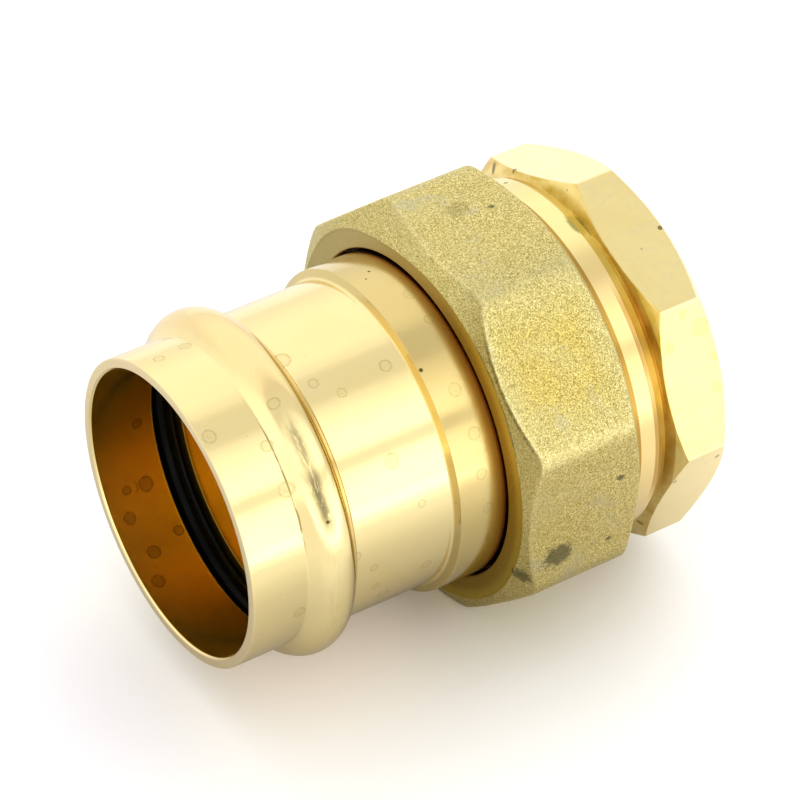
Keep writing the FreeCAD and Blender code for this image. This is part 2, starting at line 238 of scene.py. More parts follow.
def mark_spots(obj, marks):
    """Stores the offset from each mark, along and round the pipe in mark sizes, and its kind."""
    count = len(obj.data.vertices)
    co = np.empty(count * 3, np.float32)
    obj.data.vertices.foreach_get("co", co)
    co = co.reshape(-1, 3).astype(float) * 1000.0
    stations = co[:, 0] - MOUTH
    radii = np.hypot(co[:, 1], co[:, 2])
    angles = np.arctan2(-co[:, 1], co[:, 2])
    values = np.full((count, 3), 99.0, np.float32)      # 99 is far from every mark
    values[:, 2] = 0.0
    for station, radius, degrees, size, kind in marks:
        turn = (angles - math.radians(degrees) + math.pi) % (2 * math.pi) - math.pi
        along, across = (stations - station) / size, turn * radius / size
        near = (np.hypot(along, across) < 2.2) & (np.abs(radii - radius) < 1.6)
        values[near, 0], values[near, 1], values[near, 2] = along[near], across[near], kind
    store_vectors(obj, "spots", values)


def from_nearest(degrees, first):
    """Degrees from the nearest of eight directions, one of them at first."""
    return (degrees - first + HALF_SIDE) % SIDE - HALF_SIDE


def octagon(angles, apothem, rounding, corner_deg):
    """Radius of a regular octagon with rounded corners at each angle."""
    turn = np.radians(from_nearest(np.degrees(angles) - corner_deg, HALF_SIDE))
    half = math.pi / 8
    edge = math.atan((apothem * math.tan(half) - rounding * math.tan(half)) / apothem)
    centre = apothem / math.cos(half) - rounding / math.cos(half)
    phi = half - np.abs(turn)
    reach = np.sqrt(np.maximum(rounding ** 2 - (centre * np.sin(phi)) ** 2, 0.0))
    return np.where(np.abs(turn) <= edge, apothem / np.cos(turn), centre * np.cos(phi) + reach)


def cut_thread(grid, angles, where, phase, root, internal):
    """Cuts 55 degree helical grooves, bottomed at radius root, into the masked points."""
    x, r = grid[:, :, 0], grid[:, :, 1]
    centre = THREAD_X + PITCH * (np.degrees(angles)[:, None] - phase - 180.0) / 360.0
    off = np.abs((x - centre + PITCH / 2) % PITCH - PITCH / 2)
    rise = np.maximum(off - PITCH / 12, 0.0) / math.tan(math.radians(27.5))
    cut = np.maximum(r, root - rise) if internal else np.minimum(r, root + rise)
    grid[:, :, 1] = np.where(where, cut, r)


def push_in(grid, angles, depth):
    """Moves the surface inwards along its normal by depth in mm, in place."""
    points = to_xyz(grid[:, :, 0], grid[:, :, 1], angles)
    along = np.roll(points, -1, 1) - np.roll(points, 1, 1)
    across = np.roll(points, -1, 0) - np.roll(points, 1, 0)
    normal = np.cross(along, across)
    normal /= np.maximum(np.linalg.norm(normal, axis=2, keepdims=True), 1e-12)
    cos, sin = np.cos(angles)[:, None], np.sin(angles)[:, None]
    outward = np.sign((normal[:, :, 2] * cos - normal[:, :, 1] * sin).mean())
    points = points - normal * outward * depth[:, :, None]
    # the small sideways part of the move is dropped, so each profile stays in its own plane
    grid[:, :, 0] = points[:, :, 0]
    grid[:, :, 1] = np.hypot(points[:, :, 1], points[:, :, 2])


# ---------------------------------------------------------------------------
# marks: station, radius, angle in degrees, size in mm,
# kind (1 water ring, 2 water ring with a crescent, 3 pit)
# ---------------------------------------------------------------------------
TAIL_MARKS = [
    (9.9, BODY, -19.5, 1.25, 2), (1.9, BODY, 23.5, 1.35, 2), (10.4, 30.6, 34.0, 1.15, 1),
    (10.6, 30.6, 50.0, 1.5, 2), (23.8, BODY, 20.0, 1.0, 1), (21.5, BODY, 7.0, 1.6, 1),
    (27.6, BODY, 27.0, 0.95, 2), (14.0, 32.5, 23.5, 1.1, 1), (9.5, BODY, 99.0, 1.25, 2),
    (20.9, BODY, 84.0, 1.0, 1), (24.6, BODY, 92.5, 0.85, 1), (25.6, BODY, 103.5, 0.9, 2),
    (14.8, 32.7, 63.5, 0.42, 3), (31.2, BODY, 55.0, 1.45, 2), (37.4, BODY, 24.0, 1.2, 1),
    (46.4, SHANK, 41.0, 1.35, 2), (47.0, SHANK, 56.5, 1.3, 1), (46.6, SHANK, 70.5, 1.15, 1),
    (47.2, SHANK, 84.0, 1.15, 2), (48.6, SHANK, 4.0, 1.2, 2), (48.6, SHANK, 16.0, 1.0, 1),
    (46.4, SHANK, -14.0, 0.35, 3), (44.6, SHANK, -10.5, 0.25, 3), (42.1, SHANK, 31.0, 0.50, 3),
    (36.2, BODY, 104.0, 1.1, 1), (28.0, BODY, 112.5, 1.2, 1), (9.8, BODY, -34.0, 0.8, 1),
    (4.2, BODY, -18.0, 1.1, 1), (35.0, BODY, 74.0, 0.8, 1), (8.8, BORE, -123.5, 1.5, 2),
    (3.6, BORE, -133.5, 1.25, 2), (4.8, BORE, -123.0, 0.9, 1), (5.2, BORE, -149.0, 1.3, 1),
    (3.2, BORE, -160.5, 1.35, 2), (11.4, BORE, -145.0, 1.0, 1), (9.6, BORE, -98.0, 1.1, 1),
    (30.0, BODY, 160.0, 1.3, 1), (20.9, BODY, -100.0, 1.3, 2), (34.0, BODY, -140.0, 1.2, 1),
    (6.0, BODY, 150.0, 1.3, 2), (5.0, BODY, -90.0, 1.4, 1), (46.0, SHANK, 150.0, 1.2, 2),
    (47.0, SHANK, -80.0, 1.2, 1), (28.5, BODY, -70.0, 1.0, 1),
]
END_MARKS = [
    (93.6, 36.0, 51.6, 1.7, 1), (90.4, 37.1, 46.4, 0.9, 1), (86.4, 35.6, 54.0, 1.0, 2),
    (95.4, 35.1, 61.6, 0.9, 1), (94.6, 35.2, 71.0, 1.0, 1), (93.5, 36.7, 93.6, 0.6, 3),
    (85.3, 35.8, 99.1, 0.5, 3), (84.2, 34.8, 127.6, 0.55, 3), (84.6, 35.6, -43.0, 0.8, 3),
    (84.4, 35.2, -30.0, 0.6, 3), (80.2, NECK, -24.4, 0.55, 3), (95.6, 35.1, 20.1, 0.6, 3),
    (91.0, 35.3, 150.0, 1.2, 2), (88.0, 36.0, -100.0, 1.3, 1), (90.0, 36.0, 190.0, 1.2, 2),
]


# ---------------------------------------------------------------------------
# press tail
# ---------------------------------------------------------------------------
def tail_profile():
    bead_x, bead_top, crest_arc = 16.1, 32.9, 4.6
    front_slope, rear_slope = 1.3, 1.5                  # radius per mm of X on the bead's flanks
    wire, wire_x, wire_r = 1.24, 57.6, 31.4             # groove for the retaining ring
    rear, rear_bore = 61.0, 25.8
    lip = 27.6

    # the crest arc runs tangent into both flanks
    arc_r = bead_top - crest_arc
    front_turn, rear_turn = math.atan(front_slope), math.atan(rear_slope)

    def on_crest(turn):
        return bead_x + crest_arc * math.sin(turn), arc_r + crest_arc * math.cos(turn)

    front_x, front_r = bead_x - crest_arc * math.sin(front_turn), on_crest(front_turn)[1]
    rear_x, rear_r = on_crest(rear_turn)
    front_part = rounded([
        (0.0, lip, 0, 0.3), (0.0, BODY, 0.30, 0.30),
        (front_x - (front_r - BODY) / front_slope, BODY, 0.6, 0.2), (front_x, front_r, 0, 0.2),
    ])
    crest = [np.array(on_crest(turn)) for turn in np.linspace(-front_turn, rear_turn, 40)][1:-1]
    half = math.acos((wire_r - SHANK) / wire)
    ring_groove = [(wire_x - wire * math.sin(turn), wire_r - wire * math.cos(turn))
                   for turn in np.linspace(half, -half, 13)]
    rest = rounded([
        (rear_x, rear_r, 0, 0.2), (rear_x + (rear_r - BODY) / rear_slope, BODY, 0.4, 0.35),
        (40.95, BODY, 0.30, 0.1), (41.65, SHANK, 0.18, 0.35), *ring_groove,
        (rear, SHANK, 0.45, 0.5), (rear, rear_bore, 0.4, 0.7), (40.3, rear_bore, 0.25, 0.3),
        (40.0, BORE, 0, 0.7),
        # seal groove inside the bead
        (18.6, BORE, 0.2, 0.3), (18.3, 31.3, 1.5, 0.35), (13.3, 31.3, 1.5, 0.3),
        (13.0, BORE, 0.2, 0.45), (0.35, BORE, 0.15, 0.1), (0.0, lip),
    ])
    return np.vstack([front_part, crest, rest[:-1]])


def build_tail():
    profile = tail_profile()
    count = 720
    angles = np.linspace(-math.pi, math.pi, count, endpoint=False)
    grid = np.repeat(profile[None], count, 0)
    points = to_xyz(grid[:, :, 0], grid[:, :, 1], angles).reshape(-1, 3)
    outside = np.arange(len(profile)) < np.argmax(profile[:, 0] > 60.4)
    outside = np.tile(outside.astype(float), count)
    # slow and fine waves, then ripples round the front of the bead
    drawn_out = points * np.array([0.45, 1.0, 1.0])
    relief = 0.012 * smooth_noise(drawn_out, scale=13.0, seed=3, octaves=2)
    relief += 0.0022 * smooth_noise(points, scale=2.4, seed=5, octaves=2)
    bead = np.exp(-((points[:, 0] - 13.6) / 2.0) ** 2)
    worked = points * np.array([0.7, 1.0, 1.0])
    relief += 0.030 * bead * smooth_noise(worked, scale=3.2, seed=11, octaves=2)
    grid[:, :, 1] += (relief * outside).reshape(count, -1)
    obj = ring_mesh("press_tail_formed", grid, angles, sharp_deg=28.0)
    mark_spots(obj, TAIL_MARKS)
    return obj


# ---------------------------------------------------------------------------
# union nut
# ---------------------------------------------------------------------------
def forged_depth(points):
    """Depth in mm of the forged and blasted skin: grain, swells, pinholes and dents."""
    depth = 0.03 + 0.020 * smooth_noise(points, scale=1.05, seed=21, octaves=2, gain=0.6)
    depth += 0.10 * (0.5 + 0.5 * smooth_noise(points, scale=9.0, seed=31, octaves=2))
    depth += 0.012 * np.maximum(smooth_noise(points, scale=0.62, seed=41), 0.0)
    dent = smooth_noise(points, scale=4.2, seed=51)
    return depth + 0.16 * np.clip((dent - 0.55) / 0.3, 0, 1) ** 2


def build_nut():
    count = 864
    angles = np.linspace(-math.pi, math.pi, count, endpoint=False) + math.radians(0.2)
    degrees = np.degrees(angles)
    outline = octagon(angles, apothem=38.0, rounding=6.0, corner_deg=NUT_CORNER)
    front, rear, rear_r = 50.9, 76.1, 36.4
    throat, core, relief = 31.5, 33.27, 34.95
    # the turned front face is cut off-centre, so it ends further in near -12 degrees
    turn = (degrees + 12.0 + 180.0) % 360.0 - 180.0
    high = np.exp(-(turn / 26.0) ** 2)
    face_r = 36.35 - 1.85 * high
    front_x = front + (outline - 37.1) * 0.80 + 1.9 * high
    rear_x = rear - (outline - rear_r) * 0.64
    grid = swept([
        (51.42, throat, 0.15, 3), (51.02, 31.9, 0.15, 22), (51.02, face_r - 0.5, 0, 1),
        (front, face_r - 0.4, 0.06, 3, 2), (front, face_r, 0.30, 18, 6),
        (front_x, outline, 0.9, 92, 8), (rear_x, outline, 0.8, 14, 7), (rear, rear_r, 0.35, 6),
        (rear, 35.02, 0.2, 5), (74.35, core, 0, 90), (62.88, core, 0, 10), (61.2, relief, 0, 5),
        (59.41, relief, 0, 9), (55.96, throat, 0, 12),
    ], count)
    stations, radii = grid[0, :, 0].copy(), grid[0, :, 1].copy()
    inside = np.arange(len(stations)) >= np.argmax((stations > 76.0) & (radii < 35.1))
    x = grid[:, :, 0]
    cut_thread(grid, angles, inside & (x > 61.25) & (x <= 76.11), UNION_PHASE,
               root=34.749, internal=True)
    x, r = grid[:, :, 0].copy(), grid[:, :, 1].copy()
    # everything outside the turned front annulus is rough
    rough = np.zeros(len(stations))
    rough[np.argmax(stations < 50.95):np.argmax(stations > 76.05) + 6] = 1.0
    depth = forged_depth(to_xyz(x, r, angles).reshape(-1, 3))
    push_in(grid, angles, depth.reshape(count, -1) * rough)
    obj = ring_mesh("union_nut_forged", grid, angles, sharp_deg=40.0)

    # zone: on the front face, on the front cone, and how near to a worn edge
    outline, face_r = outline[:, None], (face_r - 0.15)[:, None]
    front_x, rear_x = front_x[:, None], rear_x[:, None]
    face = (x < 51.3) & (r > 31.7) & (r < face_r)
    cone = (~face) & (r > 33.0) & (x > 50.8) & (x < front_x - 0.05)
    lip = 0.30 * np.exp(-((r - face_r - 0.15) / 0.16) ** 2) * (x < 51.3)
    front_edge = np.exp(-(np.hypot(x - front_x, r - outline) / 0.55) ** 2)
    rear_edge = np.exp(-(np.hypot(x - rear_x, r - outline) / 0.6) ** 2)
    to_corner = np.radians(from_nearest(degrees, NUT_CORNER)) * 40.0
    between = (x > front_x - 0.2) & (x < rear_x + 0.2) & (r > 37.5)
    corners = np.exp(-(to_corner / 1.3) ** 2)[:, None] * between
    worn = np.maximum(np.maximum(front_edge, lip), np.maximum(0.6 * corners, 0.7 * rear_edge))
    store_vectors(obj, "zone", np.stack([face.astype(float), cone.astype(float), worn], -1))
    return obj


# ---------------------------------------------------------------------------
# threaded end
# ---------------------------------------------------------------------------
def end_angles():
    """Even angles with a tight cluster of five at each corner of the octagon."""
    even = np.degrees(np.linspace(-math.pi, math.pi, 720, endpoint=False)) + 0.11
    clusters = []
    for k in range(8):
        corner = (END_CORNER + SIDE * k + 180.0) % 360.0 - 180.0
        clusters += [corner + offset for offset in (-0.17, -0.085, 0.0, 0.085, 0.17)]
        even = even[np.abs(even - corner) > 0.22]
    return np.radians(np.sort(np.concatenate([even, clusters])))


def build_end():
    angles = end_angles()
    outline = octagon(angles, apothem=35.0, rounding=0.25, corner_deg=END_CORNER)
    front, rear = THREAD_X, 97.0
    cone_x = CONE_X + (outline - GROOVE_R) * CONE_SLOPE
    chamfer_x = 93.83 + (37.95 - outline) * 0.742
    major, undercut = 34.649, 32.9                      # outer thread
    pipe_minor, pipe_major = 28.328, 29.807             # thread in the bore
    bore, relief = 26.6, 29.957
    grid = swept([
        (63.9, bore, 0.1, 2), (front, 27.0, 0.1, 10), (front, 32.97, 0.1, 8),
        (65.1, major, 0, 70), (73.3, major, 0, 12), (74.3, undercut, 0, 8),
        (76.55, undercut, 0.3, 3), (76.8, 34.3, 0.1, 1), (77.05, NECK, 0.12, 18),
        (81.9, NECK, 0.18, 2), (82.2, GROOVE_R, 0.12, 5), (CONE_X, GROOVE_R, 0.15, 16),
        (cone_x, outline, 0.14, 40, 3), (chamfer_x, outline, 0.14, 14, 3),
        (rear, 33.68, 0.16, 9), (rear, 30.628, 0.1, 7), (94.7, pipe_minor, 0, 190),
        (72.93, pipe_minor, 0, 8), (71.3, relief, 0, 8), (67.9, relief, 0.15, 7),
        (67.9, bore, 0.1, 7),
    ], len(angles))
    x, r = grid[:, :, 0].copy(), grid[:, :, 1].copy()
    outside = np.arange(x.shape[1]) < np.argmax(x[0] > rear - 0.01)
    cut_thread(grid, angles, outside & (x < 74.4) & (r > 31.5), UNION_PHASE + 180.0,
               root=33.17, internal=False)
    cut_thread(grid, angles, ~outside & (x > 71.4) & (r < 30.9), PIPE_PHASE,
               root=pipe_major, internal=True)
    obj = ring_mesh("threaded_end_turned", grid, angles, sharp_deg=25.0)
    mark_spots(obj, END_MARKS)
    return obj


# ---------------------------------------------------------------------------
# shader nodes
# ---------------------------------------------------------------------------
def feed(tree, value, socket):
    if isinstance(value, Value):
        tree.links.new(value.socket, socket)
    elif value is not None:
        if socket.type == "RGBA" and len(value) == 3:
            value = (*value, 1.0)
        socket.default_value = value


def new_node(tree, kind, inputs, **settings):
    node = tree.nodes.new(kind)
    for name, setting in settings.items():
        setattr(node, name, setting)
    for key, value in inputs.items():
        feed(tree, value, node.inputs[key])
    return node


def source(tree, kind, *outputs, **settings):
    node = new_node(tree, kind, {}, **settings)
    return [Value(tree, node.outputs[name]) for name in outputs]


class Value:
    """The output of a shader node; arithmetic and methods add nodes after it."""

    def __init__(self, tree, socket):
        self.tree, self.socket = tree, socket

    def then(self, kind, inputs, output=0, **settings):
        node = new_node(self.tree, kind, inputs, **settings)
        return Value(self.tree, node.outputs[output])

    def math(self, operation, *others):
        inputs = dict(enumerate((self, *others)))
        return self.then("ShaderNodeMath", inputs, operation=operation)

    def __add__(self, other):
        return self.math("ADD", other)

    def __sub__(self, other):
        return self.math("SUBTRACT", other)

    def __rsub__(self, other):
        return self.then("ShaderNodeMath", {0: other, 1: self}, operation="SUBTRACT")

    def __mul__(self, other):
        return self.math("MULTIPLY", other)

    def __pow__(self, other):
        return self.math("POWER", other)

    def max(self, other):
        return self.math("MAXIMUM", other)

    def sqrt(self):
        return self.math("SQRT")

    def vector(self, operation, other=None, output="Vector"):
        inputs = {0: self, 1: other}
        return self.then("ShaderNodeVectorMath", inputs, output, operation=operation)

    def scaled(self, *factors):
        return self.vector("MULTIPLY", factors)

    def distance(self, point):
        return self.vector("DISTANCE", point, "Value")

    def xyz(self):
        node = new_node(self.tree, "ShaderNodeSeparateXYZ", {0: self})
        return [Value(self.tree, socket) for socket in node.outputs]

    def step(self, low, high, start=0.0, end=1.0, smooth=True):
        """Goes from start to end as the value goes from low to high."""
        inputs = {"Value": self, "From Min": low, "From Max": high, "To Min": start, "To Max": end}
        return self.then("ShaderNodeMapRange", inputs, "Result", clamp=True,
                         interpolation_type="SMOOTHSTEP" if smooth else "LINEAR")

    def fall(self, low, high):
        return self.step(low, high, 1.0, 0.0)

    def band(self, low, high, soft):
        """1 between low and high, falling to 0 over soft on both sides."""
        return self.step(low - soft, low + soft) * self.fall(high - soft, high + soft)

    def noise(self, scale=1.0, detail=2.0, rough=0.5, distortion=0.0):
        return self.then("ShaderNodeTexNoise", {
            "Vector": self, "Scale": scale, "Detail": detail, "Roughness": rough,
            "Distortion": distortion})

    def cells(self, scale):
        """Voronoi cells: the distance from the nearest centre and a random value per cell."""
        node = new_node(self.tree, "ShaderNodeTexVoronoi", {"Vector": self, "Scale": scale})
        color = Value(self.tree, node.outputs["Color"])
        return Value(self.tree, node.outputs["Distance"]), color.xyz()[0]

    def lerp(self, first, second):
        """This mask mixes two numbers."""
        return self.then("ShaderNodeMix", {0: self, 2: first, 3: second}, data_type="FLOAT")

    def mix(self, first, second):
        """This mask mixes two colours."""
        return self.then("ShaderNodeMix", {0: self, 6: first, 7: second}, 2,
                         data_type="RGBA", blend_type="MIX")

    def paint(self, mask, color, amount=None, blend="MIX"):
        """Lays a colour over this one where mask is 1, with the strength of amount."""
        if amount is not None:
            mask = mask * amount
        return self.then("ShaderNodeMix", {0: mask, 6: self, 7: color}, 2,
                         data_type="RGBA", blend_type=blend)

    def tint(self, mask, color):
        return self.paint(mask, color, blend="MULTIPLY")

    def ramp(self, stops):
        """Colours along the value; stops are (position, colour)."""
        node = new_node(self.tree, "ShaderNodeValToRGB", {0: self})
        node.color_ramp.interpolation = "LINEAR"
        elements = node.color_ramp.elements
        while len(elements) < len(stops):
            elements.new(0.5)
        for element, (position, color) in zip(elements, stops):
            element.position = position
            element.color = (*color, 1)
        return Value(self.tree, node.outputs[0])

    def bump(self, distance, strength, normal=None):
        """A normal bumped by this height; distance is in metres."""
        return self.then("ShaderNodeBump", {
            "Strength": strength, "Distance": distance, "Height": self, "Normal": normal})


def join(x, y, z):
    owner = next(part for part in (x, y, z) if isinstance(part, Value))
    return owner.then("ShaderNodeCombineXYZ", {0: x, 1: y, 2: z})


def position(tree):
    """Object position in mm."""
    [place] = source(tree, "ShaderNodeTexCoord", "Object")
    inputs = {0: place, "Scale": 1000.0}
    return place.then("ShaderNodeVectorMath", inputs, "Vector", operation="SCALE")


def on_pipe(tree):
    """Object position in mm, and its station, radius and angle in radians."""
    point = position(tree)
    x, y, z = point.xyz()
    radius = (y * y + z * z).sqrt()
    return point, x - MOUTH, radius, (y * -1.0).math("ARCTAN2", z)


def distance_to(point, station, radius, degrees, squeeze):
    """Distance from a place on the pipe, with each axis scaled by squeeze."""
    turn = math.radians(degrees)
    centre = (station + MOUTH, -radius * math.sin(turn), radius * math.cos(turn))
    centre = tuple(value * factor for value, factor in zip(centre, squeeze))
    return point.scaled(*squeeze).distance(centre)


def material(name):
    mat = bpy.data.materials.new(name)
    mat.use_nodes = True
    mat.node_tree.nodes.clear()
    return mat, mat.node_tree


def to_output(kind, shader):
    feed(shader.tree, shader, shader.tree.nodes.new(kind).inputs["Surface"])


def shade(color, rough, normal=None, metallic=1.0, extra=None):
    to_output("ShaderNodeOutputMaterial", color.then("ShaderNodeBsdfPrincipled", {
        "Base Color": color, "Roughness": rough, "Metallic": metallic, "Normal": normal,
        **(extra or {})}))


def give(obj, mat):
    obj.data.materials.clear()
    obj.data.materials.append(mat)


# ---------------------------------------------------------------------------
# materials: in masks, lengths are mm and angles radians
# ---------------------------------------------------------------------------
def spot_layers(tree):
    """Masks from the spots attribute: ring line, filled disc and pit."""
    along, across, kind = source(
        tree, "ShaderNodeAttribute", "Vector", attribute_name="spots")[0].xyz()
    wobble = join(along, across, kind).noise(scale=1.3, detail=1.0)
    away = (along * along + across * across).sqrt() + (wobble - 0.5) * 0.22
    is_ring, is_pit = kind.step(0.5, 0.6), kind.step(2.5, 2.6)
    broken = join(along, across, kind * 3.0).noise(scale=2.1).step(0.25, 0.60, start=0.45)
    line = away.band(0.76, 0.98, soft=0.14) * broken
    # the crescent is half of a smaller ring, off centre
    off = ((along - 0.18) ** 2.0 + (across + 0.12) ** 2.0).sqrt()
    crescent = off.band(0.34, 0.50, soft=0.10) * (across - along).step(-0.3, 0.4)
    crescent = crescent * kind.band(1.5, 2.5, soft=0.05)
    ring = line.max(crescent * 0.55) * (is_ring * (1.0 - is_pit))
    disc = away.fall(0.8, 1.05) * (is_ring * (1.0 - is_pit))
    return ring, disc, away.fall(0.55, 1.0) * is_pit


def polished_bronze():
    mat, tree = material("polished_bronze")
    point, x, radius, angle = on_pipe(tree)
    bore = radius.fall(27.9, 28.3) * x.step(0.1, 0.6)
    bore = bore.max(x.band(13.0, 18.6, soft=0.2) * radius.fall(31.35, 31.5))
    # base metal, with redder clouds and a haze
    cloud = point.scaled(0.6, 1.0, 1.0).noise(scale=0.075, detail=3.0, rough=0.55, distortion=0.4)
    color = cloud.step(0.38, 0.75, end=0.40).mix((0.935, 0.765, 0.375), (0.90, 0.70, 0.29))
    haze = point.noise(scale=0.30, detail=4.0, rough=0.62)
    color = color.paint(haze.step(0.50, 0.85, end=0.30), (0.84, 0.68, 0.34))
    color = color.paint(bore, (0.93, 0.635, 0.085))
    bore_haze = join(x * 0.35, angle * 9.0, 0.0).noise(detail=4.0, rough=0.6)
    color = color.paint(bore * bore_haze.step(0.35, 0.75, end=0.45), (0.80, 0.485, 0.045))
    # painted shade: the seal groove is painted black, and its rear side brown
    in_groove = (radius - x.step(12.95, 13.05) * 3.1).fall(28.2, 28.4)
    painted_groove_shade = x.band(12.72, 17.35, soft=0.15) * (radius.step(27.10, 27.15) * in_groove)
    color = color.paint(painted_groove_shade, (0.010, 0.008, 0.006), amount=0.97)
    in_lip = radius.step(27.252, 27.265) * radius.fall(31.35, 31.5)
    # painted shade on the rear edge of the seal groove
    lip = x.band(17.4, 18.80, soft=0.05) * in_lip
    color = color.paint(lip, (0.20, 0.110, 0.012), amount=0.9)
    # the cut mouth: duller, pinkish grey
    mouth = x.fall(0.02, 0.30) * radius.step(27.2, 27.4)
    color = color.paint(mouth, (0.74, 0.59, 0.35), amount=0.75)
    # drag marks of the rolling tool on the front of the bead
    streaks = join(x * 1.7, angle * 8.0, 0.0).noise(detail=5.0, rough=0.72, distortion=0.8)
    drift = (join(0.0, angle * 5.0, 0.0).noise() - 0.5) * 1.2
    at_bead = (x + drift).band(13.75, 15.55, soft=0.75) * radius.step(30.9, 31.5)
    dark = streaks.step(0.29, 0.50, start=0.10) * angle.band(0.80, 1.15, soft=0.10)
    grey = streaks.step(0.31, 0.54, start=0.08) * angle.band(0.54, 0.84, soft=0.12)
    faint = streaks.step(0.50, 0.70) * (angle.band(1.25, 2.2, soft=0.3) * 0.25)
    smear = dark.max((grey * 0.78).max(faint)) * at_bead
    color = color.paint(smear, (0.135, 0.115, 0.050), amount=0.90)
    # the top of the bead is slightly pinker
    crown = x.band(12.0, 19.5, soft=1.0) * angle.fall(0.15, 0.55)
    color = color.tint(crown * radius.step(29.6, 30.6), (0.965, 0.915, 0.90))
    # painted shade line in the crease at the front foot of the bead
    wave = (join(0.0, angle * 4.0, 0.0).noise() - 0.5) * 0.5
    broken = join(x, angle * 6.0, 0.0).noise(scale=1.2).step(0.34, 0.52, start=0.25)
    painted_crease_shade = (x + wave).band(10.98, 11.22, soft=0.10) * broken
    painted_crease_shade = painted_crease_shade * angle.band(0.50, 1.22, soft=0.10)
    color = color.paint(painted_crease_shade, (0.15, 0.105, 0.03), amount=0.92)
    # the rear of the bead is painted darker towards its foot, a painted shade, and the pipe next to
    # the nut carries a painted dark reflection of the nut's face
    rear = x.step(16.6, 20.4) * radius.step(29.45, 29.9)
    color = color.paint(rear, (0.55, 0.40, 0.125), amount=0.62)
    painted_nut_reflection = x.step(48.4, 50.9) * (radius.step(30.3, 30.6) * x.fall(56.0, 58.0))
    color = color.paint(painted_nut_reflection, (0.40, 0.155, 0.022), amount=0.80)
    # water rings, darker in the bore, and pits
    ring, disc, pit = spot_layers(tree)
    color = color.paint(disc, (0.62, 0.51, 0.20), amount=0.22)
    color = color.paint(ring, (0.42, 0.33, 0.12), amount=0.50)
    color = color.paint(bore * (ring * 0.66).max(disc * 0.28), (0.25, 0.155, 0.025))
    color = color.paint(pit, (0.07, 0.045, 0.012), amount=0.92)
    # scattered specks, and paler flecks outside
    near, lot = point.cells(scale=0.17)
    speck = near.fall(0.018, 0.034) * lot.step(0.55, 0.60)
    color = color.paint(speck, (0.22, 0.16, 0.06), amount=0.7)
    near, lot = point.scaled(0.7, 1.0, 1.0).cells(scale=0.50)
    fleck = near.fall(0.04, 0.09) * (lot.step(0.62, 0.80) * radius.step(28.4, 28.8))
    color = color.paint(fleck, (0.45, 0.34, 0.13), amount=0.38)

    rough = haze.step(0.25, 0.85, start=0.070, end=0.150, smooth=False)
    rough = rough + point.noise(scale=1.6, rough=0.6) * 0.03
    rough = rough + x.step(43.5, 50.0) * 0.10
    for mask, value in ((bore, 0.24), (mouth, 0.30), (painted_groove_shade, 0.6), (lip, 0.5),
                        (disc.max(smear), 0.22)):
        rough = mask.lerp(rough, value)
    # fine polishing lines round the pipe over a light orange peel
    lines = join(x * 5.5, angle * 5.0, radius * 2.0).noise(detail=3.0, rough=0.65)
    normal = point.noise(scale=0.8).bump(distance=0.000018, strength=0.35)
    normal = lines.bump(distance=0.0000035, strength=0.5, normal=normal)
    normal = ring.max(pit).bump(distance=0.00004, strength=-0.6, normal=normal)
    shade(color, rough, normal)
    return mat


# oxide blotches on the nut: station, radius, angle in degrees, size in mm, strength
BLOTCHES = [
    (58.0, 38.7, 102.0, 3.4, 1), (51.9, 37.6, 108.0, 2.6, 1), (70.6, 38.2, 83.0, 0.9, 1),
    (69.6, 38.1, -5.5, 0.7, 1), (64.0, 38.3, -9.0, 2.6, 0.35), (69.0, 39.2, 104.0, 0.7, 1),
    (57.0, 39.8, 196.0, 2.4, 1), (66.0, 38.3, 232.0, 3.0, 1),
]


def blotch(point, station, radius, degrees, size, strength):
    away = distance_to(point, station, radius, degrees, squeeze=(0.8, 1.0, 1.0))
    ragged = (point.noise(scale=0.9, detail=4.0, rough=0.7) - 0.5) * (size * 1.5)
    mask = (away + ragged).fall(size * 0.45, size * 0.95)
    return mask * strength if strength < 1 else mask


